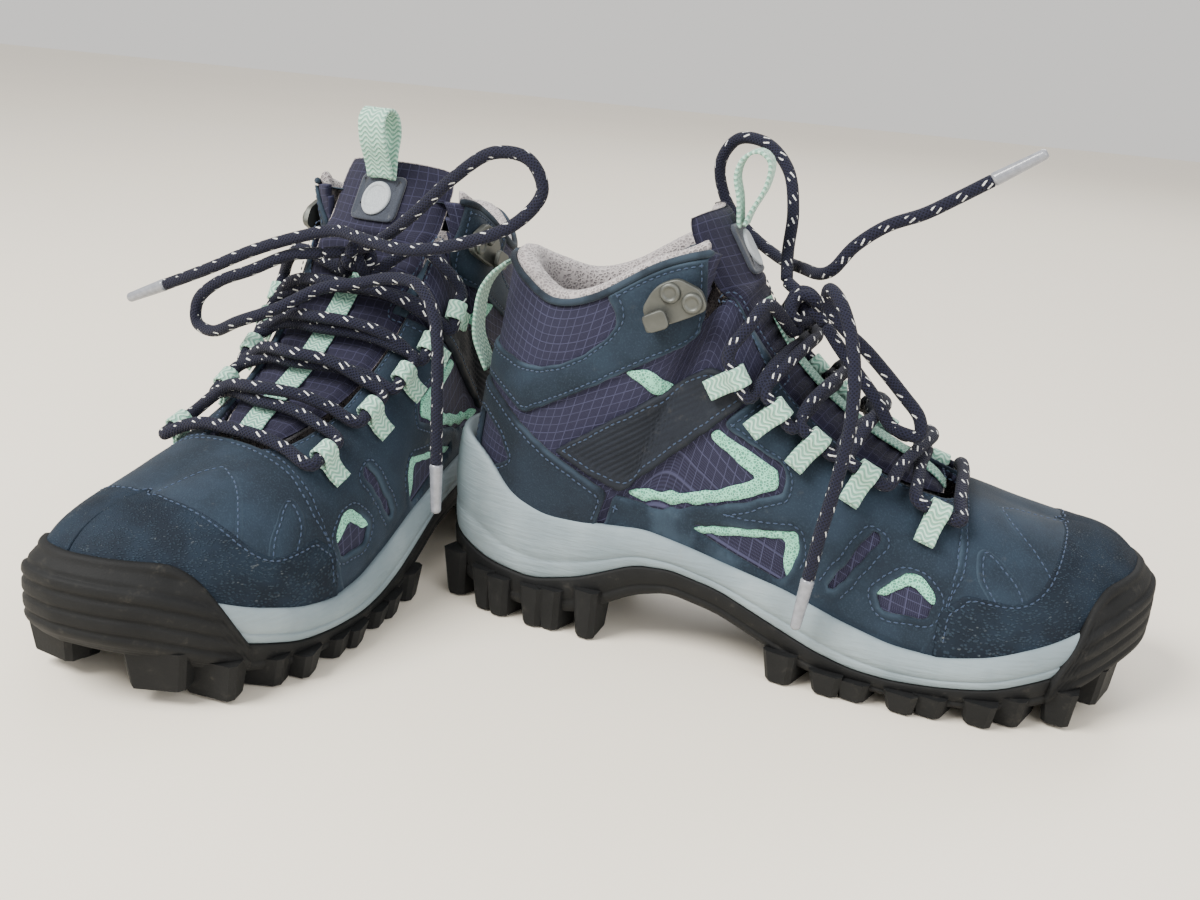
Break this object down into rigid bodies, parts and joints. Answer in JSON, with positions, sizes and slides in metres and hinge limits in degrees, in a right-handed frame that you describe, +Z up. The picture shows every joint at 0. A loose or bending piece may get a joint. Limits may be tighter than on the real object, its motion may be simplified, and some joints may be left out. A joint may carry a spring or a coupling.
{
  "type": "hiking boots",
  "caption": "Pair of mid-height laced hiking boots with lugged outsoles, leather panels over a textile shaft, padded collars, lace loops, hooks and tied bows.",
  "frame": {"origin": "centre of the pair's bounding box in plan, at the height of the floor that both boots stand on, measured without the free lace ends", "axes": "+X from the right boot's heel towards its toe, +Y towards the right boot's inner side at rest, +Z up"},
  "size_m": [0.4395, 0.2846, 0.2107],
  "materials": {
    "outsole_rubber": "matte, moulded",
    "midsole_foam": "matte foam with fine wrinkles",
    "board": "pressed fibre",
    "insole_cloth": "brushed cloth on foam",
    "ripstop_textile": "woven, with a light ripstop grid",
    "nubuck": "matte nubuck",
    "strap": "ribbed, matte",
    "lining_mesh": "padded mesh",
    "tongue_textile": "padded textile with cross ribs",
    "label": "moulded badge, plain",
    "webbing": "herringbone webbing",
    "hook_metal": "matte gunmetal",
    "lace": "round braid with light flecks",
    "aglet": "clear sleeve"
  },
  "bodies": {
    "right_boot": {"right_outsole": "outsole_rubber", "right_midsole": "midsole_foam", "right_lasting_board": "board", "right_insole": "insole_cloth", "right_upper_shell": "ripstop_textile", "right_toe_cap": "nubuck", "right_vamp": "nubuck", "right_quarter_lateral": "nubuck", "right_quarter_medial": "nubuck", "right_heel_counter": "nubuck", "right_ankle_band": "nubuck", "right_strap_lateral": "strap", "right_strap_medial": "strap", "right_collar": "lining_mesh", "right_tongue_lower": "tongue_textile", "right_heel_loop": "webbing", "right_loops_lateral": "webbing", "right_loops_medial": "webbing", "right_hook_lateral": "hook_metal", "right_hook_medial": "hook_metal", "right_lace_laced": "lace", "right_lace_knot": "lace", "right_lace_bow_a": "lace", "right_lace_bow_b": "lace", "right_aglet_a": "aglet", "right_aglet_b": "aglet"},
    "right_tongue": {"right_tongue_top": "tongue_textile", "right_tongue_label": "label"},
    "right_pull_loop": {"right_tongue_loop": "webbing"},
    "left_boot": {"left_outsole": "outsole_rubber", "left_midsole": "midsole_foam", "left_lasting_board": "board", "left_insole": "insole_cloth", "left_upper_shell": "ripstop_textile", "left_toe_cap": "nubuck", "left_vamp": "nubuck", "left_quarter_lateral": "nubuck", "left_quarter_medial": "nubuck", "left_heel_counter": "nubuck", "left_ankle_band": "nubuck", "left_strap_lateral": "strap", "left_strap_medial": "strap", "left_collar": "lining_mesh", "left_tongue_lower": "tongue_textile", "left_heel_loop": "webbing", "left_loops_lateral": "webbing", "left_loops_medial": "webbing", "left_hook_lateral": "hook_metal", "left_hook_medial": "hook_metal", "left_lace_laced": "lace", "left_lace_knot": "lace", "left_lace_bow_a": "lace", "left_lace_bow_b": "lace", "left_aglet_a": "aglet", "left_aglet_b": "aglet"},
    "left_tongue": {"left_tongue_top": "tongue_textile", "left_tongue_label": "label"},
    "left_pull_loop": {"left_tongue_loop": "webbing"}
  },
  "joints": [
    {"name": "left_boot_slide", "type": "slide", "parent": "right_boot", "child": "left_boot", "axis": [-1, 0, 0], "range_m": [0, 0.15]},
    {"name": "right_tongue_fold", "type": "hinge", "parent": "right_boot", "child": "right_tongue", "pos_m": [0.0321, 0.0185, 0.15], "axis": [0, 1, 0], "range_deg": [-16, 10], "stiffness_Nm_per_rad": 0.1},
    {"name": "right_pull_loop_fold", "type": "hinge", "parent": "right_tongue", "child": "right_pull_loop", "pos_m": [0.0257, 0.0185, 0.1725], "axis": [0, 1, 0], "range_deg": [-25, 20], "stiffness_Nm_per_rad": 0.01},
    {"name": "left_tongue_fold", "type": "hinge", "parent": "left_boot", "child": "left_tongue", "pos_m": [-0.13417, 0.02539, 0.15], "axis": [0.9878, -0.1559, 0], "range_deg": [-16, 10], "stiffness_Nm_per_rad": 0.1},
    {"name": "left_pull_loop_fold", "type": "hinge", "parent": "left_tongue", "child": "left_pull_loop", "pos_m": [-0.13318, 0.03172, 0.1725], "axis": [0.9878, -0.1559, 0], "range_deg": [-25, 20], "stiffness_Nm_per_rad": 0.01}
  ]
}
